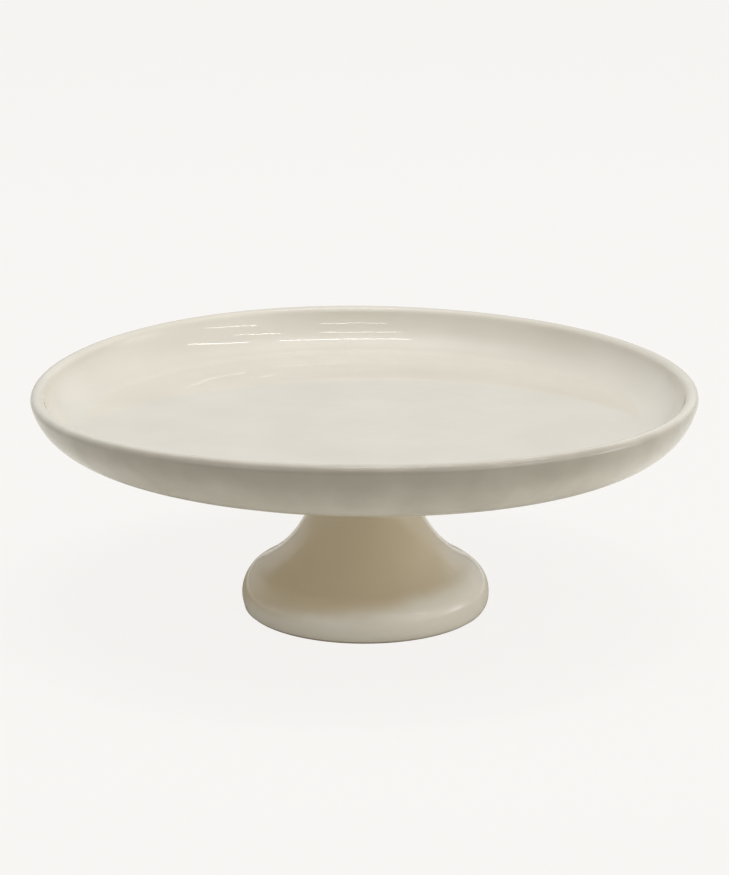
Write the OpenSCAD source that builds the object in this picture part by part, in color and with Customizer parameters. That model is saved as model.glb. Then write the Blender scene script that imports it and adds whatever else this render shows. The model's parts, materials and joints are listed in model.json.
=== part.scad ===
// Footed cake stand in glazed stoneware: a shallow upturned plate joined with slip to a hollow trumpet foot.
// Millimetres, +Z up, origin on the table at the centre of the foot.

/* [Plate] */
// Diameter of the plate over its rounded rim
plate_d = 300; // [220:1:360]
// Height of the rim above the table
stand_h = 107; // [88:1:140]
// Depth of the well, from the top of the rim down to the floor
well_depth = 18.2; // [14:0.2:24]
// Thickness of the clay under the floor of the well
floor_t = 8; // [5:0.5:12]
// Thickness of the wall at its rounded rim
rim_t = 6; // [4:0.5:8]
// Radius of the outside curve, where the wall turns under
outer_curve_r = 26; // [16:1:32]
// Radius of the inside curve, where the floor turns up
inner_curve_r = 20; // [12:1:28]

/* [Pedestal] */
// Diameter of the pedestal over its rolled foot
foot_d = 113.6; // [90:0.2:140]
// Radius of the rolled foot
foot_roll_r = 14.5; // [10:0.5:18]
// Height of the widest part of the foot above the table
foot_roll_z = 7.4; // [4:0.2:9]
// Width of the flat unglazed ring that touches the table
foot_ring_w = 8; // [4:0.5:10]
// Diameter of the straight neck above the flare
neck_d = 45; // [34:1:56]
// Radius of the hollow flare between the neck and the foot
flare_r = 51; // [40:1:80]
// Thickness of the pedestal's clay wall
pedestal_wall = 7; // [4:0.5:9]

/* [Joint] */
// Thickness of the slip that joins the pedestal to the plate
slip_t = 1.5; // [0.5:0.5:3]
// Reach of the coil pressed into the corner inside the hollow neck
inner_coil_r = 5; // [2:0.5:8]
// Radius of the smoothed coil in the corner outside the neck
outer_coil_r = 9; // [4:0.5:12]
// Thickness that the smoothed coil keeps at its edges
coil_edge_t = 0.6; // [0.4:0.1:1]

/* [Hidden] */
$fn = 180;

GLAZE_CREAM = [0.89, 0.87, 0.82];
GLAZE_WARM = [0.82, 0.77, 0.67];
FIRED_SLIP = [0.80, 0.72, 0.60];

// How far a cutting shape runs past the surface that it cuts
over = 5;

// Heights
floor_z = stand_h - well_depth;
underside_z = floor_z - floor_t;
pedestal_top_z = underside_z - slip_t;

// Centre of the rounded rim, in the section's [radius, height]
rim_r = rim_t / 2;
rim_c = [plate_d / 2 - rim_r, stand_h - rim_r];

// Centres of the two wall curves, each tangent to the rim and to its own flat
outer_c_z = underside_z + outer_curve_r;
inner_c_z = floor_z + inner_curve_r;
outer_c = [rim_c[0] - side_of(outer_curve_r - rim_r, rim_c[1] - outer_c_z), outer_c_z];
inner_c = [rim_c[0] - side_of(inner_curve_r + rim_r, rim_c[1] - inner_c_z), inner_c_z];

// Centres of the rolled foot and of the flare, which is tangent to the roll
roll_c = [foot_d / 2 - foot_roll_r, foot_roll_z];
foot_ring_r = roll_c[0] + side_of(foot_roll_r, foot_roll_z);
flare_c_r = neck_d / 2 + flare_r;
flare_c = [flare_c_r, foot_roll_z + side_of(foot_roll_r + flare_r, flare_c_r - roll_c[0])];

// The other short side of a right triangle
function side_of(long_side, short_side) = sqrt(long_side * long_side - short_side * short_side);

// A point past an arc, on the line from its centre through another point
function beyond(centre, through, reach) =
    centre + (through - centre) / norm(through - centre) * reach;

// Radius of the flare and the straight neck above it at a height, inset by the wall or by nothing
function neck_r_at(z, inset) = flare_c[0] - side_of(flare_r + inset, min(z - flare_c[1], 0));

// A circle whose first point is turned away from the surface that it forms
module disc(centre, radius, start = 0) {
    translate(centre) rotate(start) circle(r = radius);
}

// A block of the section from the axis out to a radius, between two heights
module block(radius, z_low, z_high) {
    translate([0, z_low]) square([radius, z_high - z_low]);
}

// The side of the rim's centre on which the plate's wall lies
module wall_mask() {
    outer_end = beyond(outer_c, rim_c, outer_curve_r + over);
    polygon([
        [0, underside_z - over], [outer_end[0], underside_z - over], outer_end, rim_c,
        inner_c, [inner_c[0], stand_h + over], [0, stand_h + over]
    ]);
}

module plate_section() {
    intersection() {
        difference() {
            union() {
                disc(outer_c, outer_curve_r);
                block(outer_c[0], underside_z, outer_c[1]);
            }
            disc(inner_c, inner_curve_r);
            block(inner_c[0], floor_z, stand_h + over);
        }
        wall_mask();
    }
    disc(rim_c, rim_r, 180);
}

// Everything inside the pedestal's surface, inset by the wall or by nothing
module pedestal_section(inset, z_low, z_high) {
    intersection() {
        union() {
            disc(roll_c, foot_roll_r - inset, 180);
            difference() {
                polygon([[0, z_low], [roll_c[0], z_low], roll_c, flare_c, [0, flare_c[1]]]);
                disc(flare_c, flare_r + inset);
            }
            block(neck_d / 2 - inset, flare_c[1], flare_c[1] + stand_h);
        }
        block(foot_d / 2 + over, z_low, z_high);
    }
}

module plate() {
    color(GLAZE_CREAM) rotate_extrude() plate_section();
}

module pedestal() {
    color(GLAZE_WARM) rotate_extrude() difference() {
        pedestal_section(0, 0, pedestal_top_z);
        pedestal_section(pedestal_wall, -over, pedestal_top_z + over);
        block(foot_ring_r - foot_ring_w, -over, foot_roll_z);
    }
}

// The ring of slip between the pedestal's top face and the plate
module joining_slip() {
    color(FIRED_SLIP) translate([0, 0, pedestal_top_z]) difference() {
        cylinder(r = neck_r_at(pedestal_top_z, 0), h = slip_t);
        translate([0, 0, -over])
            cylinder(r = neck_r_at(pedestal_top_z, pedestal_wall), h = slip_t + 2 * over);
    }
}

// A round bead in the corner that the hollow neck makes with the plate
module inner_coil() {
    reach = inner_coil_r + slip_t;
    corner_r = neck_r_at(pedestal_top_z, pedestal_wall);
    color(GLAZE_WARM) rotate_extrude() intersection() {
        disc([corner_r, underside_z], reach);
        block(corner_r, underside_z - reach, underside_z);
        pedestal_section(pedestal_wall, 0, underside_z);
    }
}

// A smoothed fillet in the corner that the outside of the neck makes with the plate
module outer_coil() {
    reach = outer_coil_r + slip_t;
    low_z = underside_z - reach;
    out_r = neck_r_at(low_z, 0) + reach;
    color(GLAZE_WARM) rotate_extrude() difference() {
        block(out_r, low_z, underside_z);
        disc([out_r, low_z], reach - coil_edge_t);
        pedestal_section(0, 0, pedestal_top_z);
        block(neck_r_at(pedestal_top_z, 0), pedestal_top_z, underside_z + over);
    }
}

plate();
pedestal();
joining_slip();
inner_coil();
outer_coil();
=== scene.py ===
# Looks for a footed cake stand: a glazed stoneware plate on a hollow trumpet pedestal.
# The file is laid out as an add-on and is run as a script. Metres, +Z up, origin on the table.
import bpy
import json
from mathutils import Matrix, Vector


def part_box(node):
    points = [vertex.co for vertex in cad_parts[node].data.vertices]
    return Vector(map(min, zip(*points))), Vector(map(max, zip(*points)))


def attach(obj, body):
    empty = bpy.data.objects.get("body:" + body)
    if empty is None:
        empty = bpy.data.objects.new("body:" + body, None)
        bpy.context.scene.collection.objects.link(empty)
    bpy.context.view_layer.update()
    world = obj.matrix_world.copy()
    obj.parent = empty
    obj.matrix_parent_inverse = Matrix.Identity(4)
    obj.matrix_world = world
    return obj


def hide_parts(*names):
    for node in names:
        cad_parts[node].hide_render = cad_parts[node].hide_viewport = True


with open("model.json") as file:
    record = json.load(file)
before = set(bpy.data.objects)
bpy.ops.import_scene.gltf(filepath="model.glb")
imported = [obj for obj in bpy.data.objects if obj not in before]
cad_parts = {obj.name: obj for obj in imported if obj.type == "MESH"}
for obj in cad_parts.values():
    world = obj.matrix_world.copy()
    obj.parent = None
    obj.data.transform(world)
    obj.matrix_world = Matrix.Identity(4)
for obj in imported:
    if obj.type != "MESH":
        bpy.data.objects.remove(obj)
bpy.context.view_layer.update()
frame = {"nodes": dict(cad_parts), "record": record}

import json
import math

import bpy
from bpy.props import FloatProperty, IntProperty, PointerProperty, StringProperty
from mathutils import Vector

bl_info = {
    "name": "Footed Cake Stand",
    "version": (1, 0, 0),
    "blender": (4, 5, 0),
    "location": "3D View > Sidebar > Cake Stand",
    "description": "Makes a hand-thrown, glazed stoneware cake stand and a pale studio around it",
    "category": "Add Mesh",
}

MM = 0.001
BODY = "root"

# Levels and radii that the frame gives
PLATE_LOW, PLATE_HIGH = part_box("plate")
PEDESTAL_LOW, PEDESTAL_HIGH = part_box("pedestal")
SLIP_LOW, SLIP_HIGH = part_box("joining_slip")
PLATE_R = PLATE_HIGH.x
RIM_Z = PLATE_HIGH.z
UNDERSIDE_Z = PLATE_LOW.z
WELL_Z = next(m["pos_m"][2] for m in frame["record"]["mounts"] if m["name"] == "cake_seat")
FOOT_R = PEDESTAL_HIGH.x
PEDESTAL_TOP_Z = PEDESTAL_HIGH.z
NECK_R = SLIP_HIGH.x

# What each point of a section carries, beside its place:
# sway: how far it follows the warp of the rim; swell: how far the leaning bulge moves it;
# ripple: how much of the thrower's ripple it keeps; thin: how much shade is painted on, darker and
# warmer; bare: unglazed
WEIGHTS = ("sway", "swell", "ripple", "thin", "bare")


# ---------------------------------------------------------------- sizes and colours to change

def length(name, description, millimetres):
    """A length setting, written in millimetres and kept in metres."""
    return FloatProperty(
        name=name, description=description, default=millimetres * MM, unit="LENGTH", precision=5,
    )


def turn(name, description, degrees):
    """An angle setting, written in degrees."""
    return FloatProperty(
        name=name, description=description, default=math.radians(degrees), unit="ROTATION",
    )


def number(name, description, value):
    """A plain number setting."""
    return FloatProperty(name=name, description=description, default=value)


def colour(name, description, code):
    """A colour setting, written as an sRGB hex code."""
    return StringProperty(name=name, description=description, default=code)


class PlateSettings(bpy.types.PropertyGroup):
    rim_t: length("Rim thickness", "Thickness of the wall at its rounded rim", 6)
    outer_curve_r: length("Outside curve", "Radius of the curve where the wall turns under", 28)
    inner_curve_r: length("Inside curve", "Radius of the curve where the floor turns up", 20)
    wave: length("Rim wave", "Rise of the rim at the front and back, and its dip at the sides", 1.73)
    wave_turn: turn("Rim wave turn", "Direction of the dip, from +X", 5)
    lobe: length("Rim lobes", "Height of the three slighter lobes of the rim", 0.57)
    lobe_turn: turn("Rim lobe turn", "Direction of the first lobe, from +X", 18)
    swell: length("Belly", "How much deeper the wall sits on the fuller side", 1.15)
    swell_turn: turn("Belly turn", "Direction of the fuller side, from +X", 0)
    ring_depth: length("Throwing ring depth", "Height of the spiral left by the fingers", 0.008)
    ring_pitch: length("Throwing ring pitch", "Distance between turns of the spiral", 9)
    ripple_depth: length("Ripple depth", "Height of the uneven ripple", 0.10)
    ripple_size: length("Ripple size", "Distance across one ripple", 22)
    segments: IntProperty(name="Segments", description="Steps round the plate", default=384)
    glaze: colour("Glaze", "Glaze where it is thick", "#DAD5C8")
    # Painted shade: a darker glaze colour on the top of the outside wall and the rim's outer side,
    # deeper towards the front, where they face away from the light
    shaded_glaze: colour("Thin glaze", "Glaze where it runs thin over an edge", "#A8A193")
    shade_top: number("Thin top", "How thin the glaze has run at the top of the outside wall", 0.35)
    shade_lean: number("Thin lean", "How much thinner it has run towards the front, for each metre", 2.7)


class PedestalSettings(bpy.types.PropertyGroup):
    roll_r: length("Foot roll", "Radius of the rolled foot", 14.5)
    roll_z: length("Foot roll height", "Height of the widest part of the foot", 7.4)
    flare_r: length("Flare", "Radius of the hollow flare between the foot and the neck", 51)
    wall_t: length("Wall", "Thickness of the pedestal's wall", 7)
    ring_w: length("Foot ring", "Width of the flat unglazed ring on the table", 8)
    bare_h: length("Bare edge", "Height up to which the foot was wiped free of glaze", 1.0)
    glaze_t: length("Glaze thickness", "Step at the edge of the glaze", 0.3)
    # The plate's shadow is painted on the pedestal: above this edge the flare and the neck take a
    # darker, warmer colour, below it the roll a paler one, brightened as painted light; the edge sits
    # higher on the right, where more light falls
    shadow_edge_z: length("Pool height", "Height below which the glaze has pooled on the roll", 15)
    shadow_edge_fade: length("Pool fade", "Height over which the pooled glaze thins out", 8)
    shadow_edge_lean: number(
        "Pool lean", "How much further the pool reaches up on the right, for each metre", 9.0,
    )
    swell: length("Fuller side", "How much the roll stands out on its fuller side", 0.7)
    swell_turn: turn("Fuller side turn", "Direction of the fuller side, from +X", -50)
    ring_depth: length("Throwing ring depth", "Height of the spiral left by the fingers", 0.04)
    ring_pitch: length("Throwing ring pitch", "Distance between turns of the spiral", 10)
    ripple_depth: length("Ripple depth", "Height of the uneven ripple", 0.10)
    ripple_size: length("Ripple size", "Distance across one ripple", 24)
    segments: IntProperty(name="Segments", description="Steps round the pedestal", default=288)
    # Over a glaze a little warmer than the plate's: painted light on the roll, and the plate's painted
    # shadow on the flare and the neck
    glaze: colour("Glaze", "Glaze where it has pooled on the roll", "#EDE7DA")
    shaded_glaze: colour("Thin glaze", "Glaze where it is thin on the flare and the neck", "#D6C7AA")


class JointSettings(bpy.types.PropertyGroup):
    outer_reach: length("Outer coil", "Radius of the smoothed coil outside the neck", 10.5)
    inner_reach: length("Inner coil", "Radius of the coil pressed in inside the neck", 6.5)
    sink: length("Feathered edge", "Depth to which the smoothed coil's edges run in", 0.2)
    press_depth: length("Press marks", "Depth of the finger marks in the inner coil", 0.6)
    presses: IntProperty(name="Presses", description="Finger marks round the inner coil", default=13)
    segments: IntProperty(name="Segments", description="Steps round each coil", default=208)
    slip: colour("Slip", "Fired joining slip", "#C7AD86")
    clay: colour("Clay", "Bare stoneware", "#C9B493")


class StageSettings(bpy.types.PropertyGroup):
    background: colour("Background", "Pale backdrop and floor", "#F6F4F2")
    camera_distance: length("Camera distance", "From the camera to the point it looks at", 1200)
    camera_height: turn("Camera height", "Angle of the camera above the horizon", 15.44)
    aim_z: length("Aim height", "Height of the point that the camera looks at", 79.9)
    lens: number("Lens", "Focal length in millimetres on a 36 mm sensor", 108.7)
    floor_r: length("Floor radius", "Radius of the pale floor", 9000)
    floor_paper: colour("Paper", "Paper that bounces light up from the floor", "#E4E2DB")
    floor_front: colour("Floor in front", "Darker floor beyond the paper's front edge", "#7C7B78")
    paper_front: length("Paper front", "How far the paper reaches towards the camera", 400)
    shadow: number("Shadow", "Share of the floor's own light and shadow that shows", 0.07)
    glow: number("Floor glow", "Strength of the floor's own colour, to make up for that share", 1.03)
    ceiling: length("Ceiling", "Height of the ceiling tubes above the rim", 1900)
    tube_power: number("Tube power", "Watts for each square metre of tube", 56.0)
    panel_w: length("Panel width", "Width of the soft panel overhead", 500)
    panel_power: number("Panel power", "Watts for each square metre of the soft panel", 28.7)


SETTINGS = {
    "cake_plate": PlateSettings,
    "cake_pedestal": PedestalSettings,
    "cake_joint": JointSettings,
    "cake_stage": StageSettings,
}


# ---------------------------------------------------------------- small tools

def linear(code, alpha=1.0):
    """An sRGB hex colour as linear red, green, blue and alpha."""
    shares = [int(code[i:i + 2], 16) / 255 for i in (1, 3, 5)]
    return [s / 12.92 if s <= 0.04045 else ((s + 0.055) / 1.055) ** 2.4 for s in shares] + [alpha]


def put(tree, kind, values=(), out=0, **settings):
    """Adds a node with its settings, and sets or links its inputs by place or name.

    Returns one of its outputs.
    """
    node = tree.nodes.new(kind)
    for name, value in settings.items():
        setattr(node, name, value)
    pairs = values.items() if isinstance(values, dict) else enumerate(values)
    for key, value in pairs:
        if isinstance(value, bpy.types.NodeSocket):
            tree.links.new(value, node.inputs[key])
        else:
            node.inputs[key].default_value = value
    return node.outputs[out] if len(node.outputs) else node


def smooth(share):
    """A share from 0 to 1, eased at both ends."""
    share = min(max(share, 0.0), 1.0)
    return share * share * (3 - 2 * share)


# ---------------------------------------------------------------- sections

class Section:
    """An outline in the plane of radius and height, with the weights of each point."""

    def __init__(self, step):
        self.step = step
        self.points = []
        self.weights = {name: [] for name in WEIGHTS}

    def add(self, points, weights):
        """Adds points. A weight is a number, or a function of radius and height."""
        for r, z in points:
            if self.points and math.dist(self.points[-1], (r, z)) < 0.02 * MM:
                continue
            self.points.append((r, z))
            for name in WEIGHTS:
                weight = weights.get(name, 0.0)
                self.weights[name].append(weight(r, z) if callable(weight) else weight)

    def line(self, start, end, **weights):
        """A straight stretch."""
        count = max(1, round(math.dist(start, end) / self.step))
        self.add([
            (start[0] + (end[0] - start[0]) * i / count, start[1] + (end[1] - start[1]) * i / count)
            for i in range(count + 1)
        ], weights)

    def arc(self, centre, radius, start, end, finer=2, **weights):
        """A round stretch about a centre, between two angles in radians."""
        count = max(4, round(abs(end - start) * radius * finer / self.step))
        angles = [start + (end - start) * i / count for i in range(count + 1)]
        self.add([
            (centre[0] + radius * math.cos(a), centre[1] + radius * math.sin(a)) for a in angles
        ], weights)

    def mesh(self, name):
        """The outline as a row of points with its weights and the distance run along it."""
        data = bpy.data.meshes.new(name)
        data.from_pydata([(r, 0.0, z) for r, z in self.points], [], [])
        run, total = [0.0], 0.0
        for a, b in zip(self.points, self.points[1:]):
            total += math.dist(a, b)
            run.append(total)
        for label, values in {**self.weights, "run": run}.items():
            data.attributes.new(label, "FLOAT", "POINT").data.foreach_set("value", values)
        return data


def side_of(long_side, short_side):
    """The other short side of a right triangle."""
    return math.sqrt(long_side * long_side - short_side * short_side)


def bearing(origin, target):
    """The angle of one point of the section, seen from another."""
    return math.atan2(target[1] - origin[1], target[0] - origin[0])


# ---------------------------------------------------------------- the thrown form, as Geometry Nodes

THROWN_INPUTS = {
    "Segments": "NodeSocketInt",
    "Wave": "NodeSocketFloat",
    "Wave Turn": "NodeSocketFloat",
    "Lobe": "NodeSocketFloat",
    "Lobe Turn": "NodeSocketFloat",
    "Swell": "NodeSocketFloat",
    "Swell Turn": "NodeSocketFloat",
    "Presses": "NodeSocketInt",
    "Press Depth": "NodeSocketFloat",
    "Ring Depth": "NodeSocketFloat",
    "Ring Pitch": "NodeSocketFloat",
    "Ripple Depth": "NodeSocketFloat",
    "Ripple Size": "NodeSocketFloat",
    "Seed": "NodeSocketInt",
    "Glaze": "NodeSocketMaterial",
    "Clay": "NodeSocketMaterial",
}
THROWN_DEFAULTS = {"Segments": 192, "Ring Pitch": 10 * MM, "Ripple Size": 20 * MM, "Seed": 3}


def carry_weights(tree, shape, section, row):
    """Stores the section's weights, and the distance run along it, on each row of the grid."""
    for name in (*WEIGHTS, "run"):
        weight = put(tree, "GeometryNodeInputNamedAttribute", [name], data_type="FLOAT")
        sampled = put(
            tree, "GeometryNodeSampleIndex", {"Geometry": section, "Value": weight, "Index": row},
            data_type="FLOAT", domain="POINT",
        )
        shape = put(
            tree, "GeometryNodeStoreNamedAttribute",
            {"Geometry": shape, "Name": name, "Value": sampled}, data_type="FLOAT", domain="POINT",
        )
    return shape


def rim_lift(tree, given, angle):
    """The rise and dip of the rim at each step round: two broad waves and three slighter lobes."""
    warp = None
    for waves, height, towards in ((2, "Wave", "Wave Turn"), (3, "Lobe", "Lobe Turn")):
        ahead = put(tree, "ShaderNodeMath", [angle, given[towards]], operation="SUBTRACT")
        phase = put(tree, "ShaderNodeMath", [ahead, waves], operation="MULTIPLY")
        cosine = put(tree, "ShaderNodeMath", [phase], operation="COSINE")
        part = put(tree, "ShaderNodeMath", [cosine, given[height]], operation="MULTIPLY")
        warp = part if warp is None else put(tree, "ShaderNodeMath", [warp, part], operation="ADD")
    sway = put(tree, "GeometryNodeInputNamedAttribute", ["sway"], data_type="FLOAT")
    return put(tree, "ShaderNodeMath", [warp, sway], operation="MULTIPLY")


def hand_marks(tree, given, position):
    """How far the marks of the hand stand out from the surface at each point."""
    around = put(tree, "ShaderNodeSeparateXYZ", [position])
    x, y = around.node.outputs[0], around.node.outputs[1]
    heading = put(tree, "ShaderNodeMath", [y, x], operation="ARCTAN2")
    marks = []

    # The fuller side, and the presses of the fingers
    swell = put(tree, "GeometryNodeInputNamedAttribute", ["swell"], data_type="FLOAT")
    off = put(tree, "ShaderNodeMath", [heading, given["Swell Turn"]], operation="SUBTRACT")
    fullness = put(tree, "ShaderNodeMath", [off], operation="COSINE")
    fuller = put(tree, "ShaderNodeMath", [fullness, given["Swell"]], operation="MULTIPLY")
    marks.append(put(tree, "ShaderNodeMath", [fuller, swell], operation="MULTIPLY"))
    pressed = put(tree, "ShaderNodeMath", [heading, given["Presses"]], operation="MULTIPLY")
    dents = put(tree, "ShaderNodeMath", [pressed], operation="COSINE")
    deep = put(tree, "ShaderNodeMath", [dents, given["Press Depth"]], operation="MULTIPLY")
    marks.append(put(tree, "ShaderNodeMath", [deep, swell], operation="MULTIPLY"))

    # The uneven ripple
    ripple = put(tree, "GeometryNodeInputNamedAttribute", ["ripple"], data_type="FLOAT")
    scaled = put(
        tree, "ShaderNodeVectorMath", [position, given["Ripple Size"]], operation="DIVIDE",
    )
    noise = put(
        tree, "ShaderNodeTexNoise",
        {"Vector": scaled, "W": given["Seed"], "Scale": 1.0, "Detail": 1.0, "Roughness": 0.4},
        noise_dimensions="4D",
    )
    centred = put(tree, "ShaderNodeMath", [noise, 0.5], operation="SUBTRACT")
    uneven = put(tree, "ShaderNodeMath", [centred, given["Ripple Depth"]], operation="MULTIPLY")
    marks.append(put(tree, "ShaderNodeMath", [uneven, ripple], operation="MULTIPLY"))

    # The spiral: one ring for each pitch along the section, drawn on by one turn of the wheel
    run = put(tree, "GeometryNodeInputNamedAttribute", ["run"], data_type="FLOAT")
    rings = put(tree, "ShaderNodeMath", [run, given["Ring Pitch"]], operation="DIVIDE")
    wander = put(tree, "ShaderNodeMath", [centred, rings], operation="ADD")
    spun = put(tree, "ShaderNodeMath", [wander, math.tau, heading], operation="MULTIPLY_ADD")
    spiral = put(tree, "ShaderNodeMath", [spun], operation="SINE")
    pressure = put(tree, "ShaderNodeMath", [noise, given["Ring Depth"]], operation="MULTIPLY")
    groove = put(tree, "ShaderNodeMath", [spiral, pressure], operation="MULTIPLY")
    marks.append(put(tree, "ShaderNodeMath", [groove, ripple], operation="MULTIPLY"))

    height = marks[0]
    for mark in marks[1:]:
        height = put(tree, "ShaderNodeMath", [height, mark], operation="ADD")
    return height


def thrown_form():
    """The node group that turns a section about the axis and leaves the marks of the hand on it."""
    found = bpy.data.node_groups.get("thrown_form")
    if found:
        return found
    tree = bpy.data.node_groups.new("thrown_form", "GeometryNodeTree")
    tree.interface.new_socket(name="Section", in_out="INPUT", socket_type="NodeSocketGeometry")
    for name, kind in THROWN_INPUTS.items():
        socket = tree.interface.new_socket(name=name, in_out="INPUT", socket_type=kind)
        if name in THROWN_DEFAULTS:
            socket.default_value = THROWN_DEFAULTS[name]
    tree.interface.new_socket(name="Geometry", in_out="OUTPUT", socket_type="NodeSocketGeometry")
    given = {s.name: s for s in tree.nodes.new("NodeGroupInput").outputs if s.name}
    section = given["Section"]

    # A flat grid with one column for each step round, and one row for each point of the section
    count = put(tree, "GeometryNodeAttributeDomainSize", [section], component="MESH")
    columns = put(tree, "ShaderNodeMath", [given["Segments"], 1], operation="ADD")
    grid = put(tree, "GeometryNodeMeshGrid", [1.0, 1.0, columns, count])
    index = put(tree, "GeometryNodeInputIndex")
    share = put(tree, "ShaderNodeMath", [index, count], operation="DIVIDE")
    column = put(tree, "ShaderNodeMath", [share], operation="FLOOR")
    row = put(tree, "ShaderNodeMath", [index, count], operation="MODULO")
    step = put(tree, "ShaderNodeMath", [math.tau, given["Segments"]], operation="DIVIDE")
    angle = put(tree, "ShaderNodeMath", [column, step], operation="MULTIPLY")
    shape = carry_weights(tree, grid, section, row)

    # Each column is stood up and turned to its place, and the seam and the poles are closed
    position = put(tree, "GeometryNodeInputPosition")
    point = put(
        tree, "GeometryNodeSampleIndex", {"Geometry": section, "Value": position, "Index": row},
        data_type="FLOAT_VECTOR", domain="POINT",
    )
    raised = put(tree, "ShaderNodeCombineXYZ", {"Z": rim_lift(tree, given, angle)})
    standing = put(tree, "ShaderNodeVectorMath", [point, raised], operation="ADD")
    turned = put(
        tree, "ShaderNodeVectorRotate", {"Vector": standing, "Angle": angle}, rotation_type="Z_AXIS",
    )
    shape = put(tree, "GeometryNodeSetPosition", {"Geometry": shape, "Position": turned})
    shape = put(tree, "GeometryNodeMergeByDistance", {"Geometry": shape, "Distance": 0.01 * MM})

    # Then the marks of the hand push the surface in and out
    normal = put(tree, "GeometryNodeInputNormal")
    offset = put(
        tree, "ShaderNodeVectorMath", {0: normal, "Scale": hand_marks(tree, given, position)},
        operation="SCALE",
    )
    shape = put(tree, "GeometryNodeSetPosition", {"Geometry": shape, "Offset": offset})
    shape = put(tree, "GeometryNodeSetShadeSmooth", {"Geometry": shape})

    bare = put(tree, "GeometryNodeInputNamedAttribute", ["bare"], data_type="FLOAT")
    unglazed = put(tree, "FunctionNodeCompare", {0: bare, 1: 0.5}, operation="GREATER_THAN")
    shape = put(tree, "GeometryNodeRealizeInstances", {"Geometry": shape})
    shape = put(
        tree, "GeometryNodeSetMaterial", {"Geometry": shape, "Material": given["Glaze"]},
    )
    shape = put(
        tree, "GeometryNodeSetMaterial",
        {"Geometry": shape, "Selection": unglazed, "Material": given["Clay"]},
    )
    put(tree, "NodeGroupOutput", [shape])
    return tree


def throw(name, section, inputs):
    """Runs a section through the thrown form and keeps the result as a plain mesh object."""
    source = bpy.data.objects.new(name + "_section", section.mesh(name + "_section"))
    bpy.context.scene.collection.objects.link(source)
    modifier = source.modifiers.new("thrown_form", "NODES")
    modifier.node_group = thrown_form()
    sockets = {s.name: s.identifier for s in modifier.node_group.interface.items_tree}
    for label, value in inputs.items():
        modifier[sockets[label]] = value
    bpy.context.view_layer.update()
    graph = bpy.context.evaluated_depsgraph_get()
    mesh = bpy.data.meshes.new_from_object(source.evaluated_get(graph), depsgraph=graph)
    bpy.data.objects.remove(source)
    mesh.name = name
    piece = bpy.data.objects.new(name, mesh)
    bpy.context.scene.collection.objects.link(piece)
    if not mesh.polygons:
        raise RuntimeError(f"{name} came out empty")
    return piece


# ---------------------------------------------------------------- materials

def glazed_stoneware(name, thick, thin, shade_slope):
    """Stoneware dipped in opacified cream glaze and fired: glassy, softly mottled, darker and warmer
    where shade is painted.
    """
    material = bpy.data.materials.new(name)
    material.use_nodes = True
    tree = material.node_tree
    tree.nodes.clear()
    place = put(tree, "ShaderNodeTexCoord", out=3)

    # Clouds in the opacifier, about 45 mm across
    clouds = put(tree, "ShaderNodeTexNoise", {"Vector": place, "Scale": 22.0, "Detail": 3.0})
    cloudy = put(tree, "ShaderNodeMapRange", [clouds, 0.3, 0.7, 0.0, 0.15])
    # Where shade is painted, its edge made uneven over about 18 mm
    shade_weight = put(tree, "ShaderNodeAttribute", out=2, attribute_name="thin")
    runs = put(tree, "ShaderNodeTexNoise", {"Vector": place, "Scale": 55.0, "Detail": 2.0})
    uneven = put(tree, "ShaderNodeMath", [runs, 0.5], operation="SUBTRACT")
    spread = put(tree, "ShaderNodeMath", [uneven, 0.25, shade_weight], operation="MULTIPLY_ADD")
    # The painted shade deepens towards one side: the front of the plate, and the left of the pedestal,
    # where the plate's shadow reaches lower
    aside = put(tree, "ShaderNodeVectorMath", [place, shade_slope], out="Value", operation="DOT_PRODUCT")
    leaning = put(tree, "ShaderNodeMath", [spread, aside], operation="ADD")
    shade_mix = put(tree, "ShaderNodeMapRange", [leaning, 0.2, 0.8], interpolation_type="SMOOTHSTEP")
    # A cloud takes a little of the darker, warmer colour too
    shade_and_cloud = put(tree, "ShaderNodeMath", [shade_mix, cloudy], operation="MAXIMUM")
    body = put(
        tree, "ShaderNodeMix", {0: shade_and_cloud, 6: linear(thick), 7: linear(thin)},
        out=2, data_type="RGBA",
    )

    # Orange peel of the fired glaze, about 4 mm across and a few microns high
    peel = put(tree, "ShaderNodeTexNoise", {"Vector": place, "Scale": 240.0, "Detail": 1.0})
    surface = put(
        tree, "ShaderNodeBump", {"Strength": 1.0, "Distance": 0.008 * MM, "Height": peel},
    )
    sheen = put(tree, "ShaderNodeMapRange", [runs, 0.3, 0.7, 0.035, 0.06])
    shader = put(tree, "ShaderNodeBsdfPrincipled", {
        "Base Color": body, "Roughness": sheen, "IOR": 1.5, "Normal": surface,
    })
    put(tree, "ShaderNodeOutputMaterial", [shader])
    return material


def bare_stoneware(name, clay):
    """Fired clay wiped free of glaze: matt, dry and a little gritty."""
    material = bpy.data.materials.new(name)
    material.use_nodes = True
    tree = material.node_tree
    tree.nodes.clear()
    place = put(tree, "ShaderNodeTexCoord", out=3)
    # Grog in the clay, drawn 1.2 mm across so that it shows
    grog = put(tree, "ShaderNodeTexNoise", {"Vector": place, "Scale": 800.0, "Detail": 4.0})
    shade = put(tree, "ShaderNodeMapRange", [grog, 0.3, 0.7, 0.0, 1.0])
    darker = [0.78 * c for c in linear(clay)[:3]] + [1.0]
    body = put(
        tree, "ShaderNodeMix", {0: shade, 6: linear(clay), 7: darker}, out=2, data_type="RGBA",
    )
    surface = put(tree, "ShaderNodeBump", {"Strength": 0.6, "Distance": 0.1 * MM, "Height": grog})
    shader = put(tree, "ShaderNodeBsdfPrincipled", {
        "Base Color": body, "Roughness": 0.85, "IOR": 1.5, "Normal": surface,
    })
    put(tree, "ShaderNodeOutputMaterial", [shader])
    return material


def shared(name, make, *details):
    """A material by name, made the first time that it is asked for."""
    return bpy.data.materials.get(name) or make(name, *details)


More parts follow.
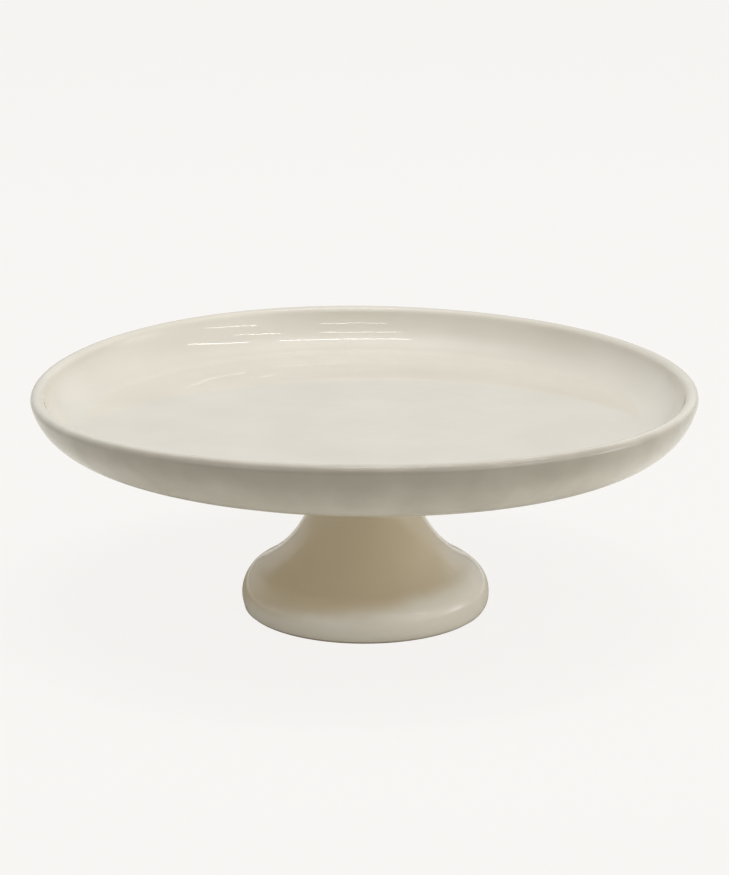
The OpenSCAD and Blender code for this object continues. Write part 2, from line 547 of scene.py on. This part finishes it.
def clay():
    """The bare clay of the foot ring."""
    return shared("bare_stoneware", bare_stoneware, bpy.context.scene.cake_joint.clay)


def pedestal_glaze():
    """The glaze of the pedestal and of the coils that join it."""
    settings = bpy.context.scene.cake_pedestal
    return shared(
        "warm_cream_glaze", glazed_stoneware, settings.glaze, settings.shaded_glaze,
        (-settings.shadow_edge_lean, 0.0, 0.0),
    )


# ---------------------------------------------------------------- pieces

class CAKE_OT_plate(bpy.types.Operator):
    """Make the plate: a thrown disc with an upturned wall and a rounded rim"""
    bl_idname = "cake.plate"
    bl_label = "Plate"

    def execute(self, context):
        s = context.scene.cake_plate
        rim_r = s.rim_t / 2
        rim = (PLATE_R - rim_r, RIM_Z - rim_r)
        outer_z = UNDERSIDE_Z + s.outer_curve_r
        inner_z = WELL_Z + s.inner_curve_r
        outer = (rim[0] - side_of(s.outer_curve_r - rim_r, rim[1] - outer_z), outer_z)
        inner = (rim[0] - side_of(s.inner_curve_r + rim_r, rim[1] - inner_z), inner_z)

        # The wall follows the rim's warp, and the underside follows a fifth of it
        def sway_outside(r, z):
            return (0.2 + 0.8 * (z - UNDERSIDE_Z) / (RIM_Z - UNDERSIDE_Z)) * smooth(r / outer[0])

        # Inside, the warp fades out down to the level floor of the well
        def sway_inside(r, z):
            return smooth((z - WELL_Z) / (RIM_Z - WELL_Z))

        # The belly hangs from the low part of the wall and fades out towards the pedestal
        def swell_outside(r, z):
            flat_r = 0.4 * PLATE_R
            drop = (RIM_Z - z) / (RIM_Z - UNDERSIDE_Z) * smooth((r - flat_r) / flat_r)
            return drop * min(1.0, (outer_z - z) / s.outer_curve_r)

        # Painted shade, deepest at the top of the outside wall, which faces away from the light
        def shade_outside(r, z):
            return s.shade_top * smooth((z - UNDERSIDE_Z) / (0.9 * (RIM_Z - UNDERSIDE_Z)))

        section = Section(step=1.9 * MM)
        outside = {
            "sway": sway_outside, "swell": swell_outside, "ripple": 1.0, "thin": shade_outside,
        }
        inside = {"sway": sway_inside, "ripple": 1.0}
        section.line((0.0, UNDERSIDE_Z), (outer[0], UNDERSIDE_Z), **outside)
        section.arc(outer, s.outer_curve_r, math.radians(-90), bearing(outer, rim), **outside)
        # The rim's outer side, turning away from the light, takes painted shade too
        section.arc(
            rim, rim_r, bearing(outer, rim), bearing(rim, inner), finer=2.5,
            sway=1.0, ripple=0.7, thin=lambda r, z: s.shade_top * smooth((r - rim[0]) / rim_r),
        )
        section.arc(inner, s.inner_curve_r, bearing(inner, rim), math.radians(-90), **inside)
        section.line((inner[0], WELL_Z), (0.0, WELL_Z), **inside)
        piece = throw("plate_visual", section, {
            "Segments": s.segments, "Wave": -s.wave, "Wave Turn": s.wave_turn,
            "Lobe": s.lobe, "Lobe Turn": s.lobe_turn, "Swell": s.swell, "Swell Turn": s.swell_turn,
            "Ring Depth": s.ring_depth, "Ring Pitch": s.ring_pitch,
            "Ripple Depth": s.ripple_depth, "Ripple Size": s.ripple_size, "Seed": 5,
            "Glaze": shared(
                "cream_glaze", glazed_stoneware, s.glaze, s.shaded_glaze, (0.0, -s.shade_lean, 0.0),
            ),
            "Clay": clay(),
        })
        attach(piece, BODY)
        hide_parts("plate")
        return {"FINISHED"}


class CAKE_OT_pedestal(bpy.types.Operator):
    """Make the pedestal: a hollow trumpet with a rolled foot and a bare foot ring"""
    bl_idname = "cake.pedestal"
    bl_label = "Pedestal"

    def execute(self, context):
        s = context.scene.cake_pedestal
        roll = (FOOT_R - s.roll_r, s.roll_z)
        flare_r0 = NECK_R + s.flare_r
        flare = (flare_r0, s.roll_z + side_of(s.roll_r + s.flare_r, flare_r0 - roll[0]))
        meet = bearing(roll, flare)
        ring_r = roll[0] + side_of(s.roll_r, s.roll_z)
        bore_r = NECK_R - s.wall_t

        # Painted light on the roll, the plate's painted shadow on the flare, and a little less of that
        # shade high on the neck
        def thin(r, z):
            shadowed = 0.5 + (z - s.shadow_edge_z) / (2 * s.shadow_edge_fade)
            return min(shadowed, 0.9 - 0.3 * smooth((z - 48 * MM) / (16 * MM)))

        # Only the roll is fuller on one side
        def swell(r, z):
            return smooth(z / (0.5 * s.roll_z)) * smooth(2 - z / (1.5 * s.roll_z))

        # The ripple fades out before the bare edge and before the joint
        def ripple(r, z):
            return smooth((z - s.bare_h) / (0.8 * s.roll_z)) * smooth((PEDESTAL_TOP_Z - z) / (5 * MM))

        glazed = {"thin": thin, "swell": swell, "ripple": ripple}
        # Inside the hollow, painted shade partway to the darker colour
        hollow = {"thin": 0.6, "ripple": ripple}
        # The clay stands back from the glaze by the glaze's thickness, and its edges are rounded
        clay_roll_r = s.roll_r - s.glaze_t
        bare_angle = math.asin((s.bare_h - s.roll_z) / clay_roll_r)
        glaze_angle = math.asin((s.bare_h + 0.5 * s.glaze_t - s.roll_z) / s.roll_r)
        edge = 0.8 * MM
        clay_r = roll[0] + side_of(clay_roll_r, s.roll_z)
        bare_start = (roll[0] + clay_roll_r * math.cos(bare_angle), s.bare_h)
        inner_r = ring_r - s.ring_w

        section = Section(step=1.8 * MM)
        section.line((inner_r + edge, 0.0), (clay_r - edge, 0.0), bare=1.0)
        section.line((clay_r - edge, 0.0), (clay_r - 0.3 * edge, 0.25 * edge), bare=1.0)
        section.line((clay_r - 0.3 * edge, 0.25 * edge), bare_start, bare=1.0)
        section.arc(roll, s.roll_r, glaze_angle, meet, **glazed)
        section.arc(flare, s.flare_r, meet - math.pi, -math.pi, **glazed)
        section.line((NECK_R, flare[1]), (NECK_R, PEDESTAL_TOP_Z), **glazed)
        section.line((NECK_R, PEDESTAL_TOP_Z), (bore_r, PEDESTAL_TOP_Z), thin=1.0)
        section.line((bore_r, PEDESTAL_TOP_Z), (bore_r, flare[1]), **hollow)
        section.arc(flare, s.flare_r + s.wall_t, -math.pi, meet - math.pi, **hollow)
        inner_roll = s.roll_r - s.wall_t
        low = -math.acos((inner_r - roll[0]) / inner_roll)
        section.arc(roll, inner_roll, meet, low, **hollow)
        section.line((inner_r, roll[1] + inner_roll * math.sin(low)), (inner_r, edge), bare=1.0)
        section.line((inner_r, edge), (inner_r + edge, 0.0), bare=1.0)
        # The outline ends exactly where it began
        section.points[-1] = section.points[0]
        piece = throw("pedestal_visual", section, {
            "Segments": s.segments, "Swell": s.swell, "Swell Turn": s.swell_turn,
            "Ring Depth": s.ring_depth, "Ring Pitch": s.ring_pitch,
            "Ripple Depth": s.ripple_depth, "Ripple Size": s.ripple_size, "Seed": 11,
            "Glaze": pedestal_glaze(), "Clay": clay(),
        })
        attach(piece, BODY)
        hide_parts("pedestal")
        return {"FINISHED"}


class CAKE_OT_joint(bpy.types.Operator):
    """Make the coils of the joint, and finish the slip between the plate and the pedestal"""
    bl_idname = "cake.joint"
    bl_label = "Joint"

    def execute(self, context):
        s = context.scene.cake_joint
        wall_t = context.scene.cake_pedestal.wall_t
        bore_r = NECK_R - wall_t

        # The smoothed coil: a hollow curve whose edges run in under both surfaces
        centre = (NECK_R + s.outer_reach, UNDERSIDE_Z - s.outer_reach)
        corner = (NECK_R - s.sink, UNDERSIDE_Z + s.sink)
        outer = Section(step=1.6 * MM)
        # Under the plate, the coil takes most of the painted shadow
        outer.arc(
            centre, s.outer_reach + s.sink, math.radians(180), math.radians(90), thin=0.9, ripple=0.5,
        )
        outer.points.reverse()
        outer.line(outer.points[-1], corner, thin=0.9)
        outer.line(corner, outer.points[0], thin=0.9)
        outer.points[-1] = outer.points[0]

        # The pressed coil: a round bead in the corner of the hollow neck
        inner = Section(step=1.0 * MM)
        hub = (bore_r + s.sink, UNDERSIDE_Z + s.sink)

        # The finger marks fade out towards both edges of the bead
        def pressed(r, z):
            return smooth(3 * min(hub[0] - r, hub[1] - z) / s.inner_reach)

        # Inside the neck, the bead takes half of the painted shade
        inner.arc(
            hub, s.inner_reach, math.radians(-90), math.radians(-180), finer=1.5,
            thin=0.5, ripple=0.5, swell=pressed,
        )
        inner.points.reverse()
        inner.line(inner.points[-1], hub, thin=0.5)
        inner.line(hub, inner.points[0], thin=0.5)
        inner.points[-1] = inner.points[0]

        common = {
            "Segments": s.segments, "Ripple Depth": 0.1 * MM,
            "Glaze": pedestal_glaze(), "Clay": clay(),
        }
        for name, section, extra in (
            ("outer_coil", outer, {"Seed": 17}),
            ("inner_coil", inner, {"Seed": 23, "Presses": s.presses, "Press Depth": s.press_depth}),
        ):
            piece = throw(name + "_visual", section, {**common, **extra})
            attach(piece, BODY)
            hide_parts(name)

        slots = frame["nodes"]["joining_slip"].data.materials
        slots.clear()
        slots.append(shared("fired_slip", bare_stoneware, s.slip))
        return {"FINISHED"}


# ---------------------------------------------------------------- stage

# Soft light from the room: where it comes from, how tight it is and its strength
ROOM_LIGHT = (
    ((0.0, 0.0, 1.0), 8, 1.65),
    ((0.95, 0.0, 0.30), 8, 0.5),
    ((0.68, -0.68, 0.26), 8, 1.05),
    ((0.90, -0.43, 0.02), 8, 0.95),
    ((1.0, 0.0, 0.0), 50, 3.4),
    ((-0.70, -0.70, 0.15), 8, 1.1),
    ((-0.95, 0.0, 0.30), 8, 0.3),
    ((-1.0, 0.0, 0.0), 50, 0.7),
    ((-0.68, 0.68, 0.26), 8, 0.75),
    ((0.0, 0.97, 0.25), 8, 0.5),
    ((0.68, 0.68, 0.26), 8, 0.65),
)
# Ceiling lamps: their left and right ends and how far in front they hang, as shares of the height of
# the ceiling above the rim. A tube also has its width.
TUBES = (
    ((-0.15, 0.31, 0.03), 50 * MM),
    ((0.47, 1.04, 0.03), 50 * MM),
    ((-0.19, 0.24, 0.47), 35 * MM),
    ((0.50, 0.90, 0.47), 35 * MM),
    ((-0.20, 0.42, 1.23), 50 * MM),
    ((1.25, 2.60, 1.23), 50 * MM),
)
PANEL = (-0.15, 0.31, 0.03)


def studio_world(backdrop, lobes):
    """A world that is pale to the camera, and lights everything else softly from the room."""
    world = bpy.data.worlds.new("studio")
    world.use_nodes = True
    tree = world.node_tree
    tree.nodes.clear()
    direction = put(tree, "ShaderNodeTexCoord")
    light = 0.0
    for towards, tightness, strength in lobes:
        facing = put(
            tree, "ShaderNodeVectorMath", [direction, Vector(towards).normalized()],
            out="Value", operation="DOT_PRODUCT",
        )
        ahead = put(tree, "ShaderNodeMath", [facing, 0.0], operation="MAXIMUM")
        fading = put(tree, "ShaderNodeMath", [ahead, tightness], operation="POWER")
        light = put(tree, "ShaderNodeMath", [fading, strength, light], operation="MULTIPLY_ADD")
    room = put(tree, "ShaderNodeBackground", [linear("#FFFFFF"), light])
    pale = put(tree, "ShaderNodeBackground", [backdrop, 1.0])
    seen = put(tree, "ShaderNodeLightPath", out="Is Camera Ray")
    put(tree, "ShaderNodeOutputWorld", [put(tree, "ShaderNodeMixShader", [seen, room, pale])])
    return world


def pale_floor(backdrop, glow_strength, paper, front, reach, shadow):
    """Floor paint: shows the backdrop's colour with a faint shadow, and bounces light like paper."""
    paint = bpy.data.materials.new("pale_floor")
    paint.use_nodes = True
    tree = paint.node_tree
    tree.nodes.clear()
    glow = put(tree, "ShaderNodeEmission", [backdrop, glow_strength])
    place = put(tree, "ShaderNodeTexCoord", out=3)
    depth = put(tree, "ShaderNodeSeparateXYZ", [place], out=1)
    papered = put(
        tree, "ShaderNodeMapRange", [depth, -1.5 * reach, -0.5 * reach],
        interpolation_type="SMOOTHSTEP",
    )
    bounce = put(
        tree, "ShaderNodeMix", {0: papered, 6: linear(front), 7: linear(paper)},
        out=2, data_type="RGBA",
    )
    matt = put(tree, "ShaderNodeBsdfDiffuse", [bounce])
    shown = put(tree, "ShaderNodeMixShader", [shadow, glow, matt])
    seen = put(tree, "ShaderNodeLightPath", out="Is Camera Ray")
    put(tree, "ShaderNodeOutputMaterial", [put(tree, "ShaderNodeMixShader", [seen, matt, shown])])
    return paint


def ceiling_lamp(name, span, width, power, ceiling):
    """A flat lamp at the height of the ceiling, turned to face the stand."""
    left, right, ahead = span
    lamp = bpy.data.lights.new(name, "AREA")
    lamp.shape = "RECTANGLE"
    lamp.size = (right - left) * ceiling
    lamp.size_y = width
    lamp.energy = power * lamp.size * lamp.size_y
    light = bpy.data.objects.new(name, lamp)
    light.location = (0.5 * (left + right) * ceiling, -ahead * ceiling, RIM_Z + ceiling)
    light.rotation_euler = (math.atan(ahead), 0.0, 0.0)
    bpy.context.scene.collection.objects.link(light)
    return light


class CAKE_OT_stage(bpy.types.Operator):
    """Make the camera, the pale floor and backdrop, the soft light of the room and the ceiling tubes"""
    bl_idname = "cake.stage"
    bl_label = "Stage"

    def execute(self, context):
        scene = context.scene
        s = scene.cake_stage
        scene.view_settings.view_transform = "Standard"

        camera = bpy.data.objects.new("camera", bpy.data.cameras.new("camera"))
        scene.collection.objects.link(camera)
        camera.data.lens = s.lens
        camera.location = (
            0.0,
            -s.camera_distance * math.cos(s.camera_height),
            s.aim_z + s.camera_distance * math.sin(s.camera_height),
        )
        camera.rotation_euler = (math.radians(90) - s.camera_height, 0.0, 0.0)
        scene.camera = camera

        backdrop = linear(s.background)
        scene.world = studio_world(backdrop, ROOM_LIGHT)

        mesh = bpy.data.meshes.new("floor")
        steps = [math.tau * i / 96 for i in range(96)]
        ring = [(s.floor_r * math.cos(a), s.floor_r * math.sin(a), 0.0) for a in steps]
        mesh.from_pydata(ring, [], [list(range(len(ring)))])
        mesh.materials.append(pale_floor(
            backdrop, s.glow, s.floor_paper, s.floor_front, s.paper_front, s.shadow,
        ))
        floor = bpy.data.objects.new("floor", mesh)
        scene.collection.objects.link(floor)

        for i, (span, width) in enumerate(TUBES):
            ceiling_lamp(f"tube_{i}", span, width, s.tube_power, s.ceiling)
        # The panel stands for light with no edge, so the glaze doesn't mirror it
        panel = ceiling_lamp("panel", PANEL, s.panel_w, s.panel_power, s.ceiling)
        panel.visible_glossy = False
        return {"FINISHED"}


# ---------------------------------------------------------------- sidebar

OPERATORS = (CAKE_OT_stage, CAKE_OT_plate, CAKE_OT_pedestal, CAKE_OT_joint)


class CAKE_PT_panel(bpy.types.Panel):
    """Lists the pieces of the cake stand"""
    bl_idname = "CAKE_PT_panel"
    bl_label = "Cake Stand"
    bl_space_type = "VIEW_3D"
    bl_region_type = "UI"
    bl_category = "Cake Stand"

    def draw(self, context):
        for operator in OPERATORS:
            self.layout.operator(operator.bl_idname)


CLASSES = (*SETTINGS.values(), *OPERATORS, CAKE_PT_panel)


def register():
    for cls in CLASSES:
        bpy.utils.register_class(cls)
    for name, group in SETTINGS.items():
        setattr(bpy.types.Scene, name, PointerProperty(type=group))


def unregister():
    for name in SETTINGS:
        delattr(bpy.types.Scene, name)
    for cls in reversed(CLASSES):
        bpy.utils.unregister_class(cls)


def main():
    """Makes the whole scene."""
    register()
    for operator in OPERATORS:
        group, name = operator.bl_idname.split(".")
        getattr(getattr(bpy.ops, group), name)()


if __name__ == "__main__":
    main()
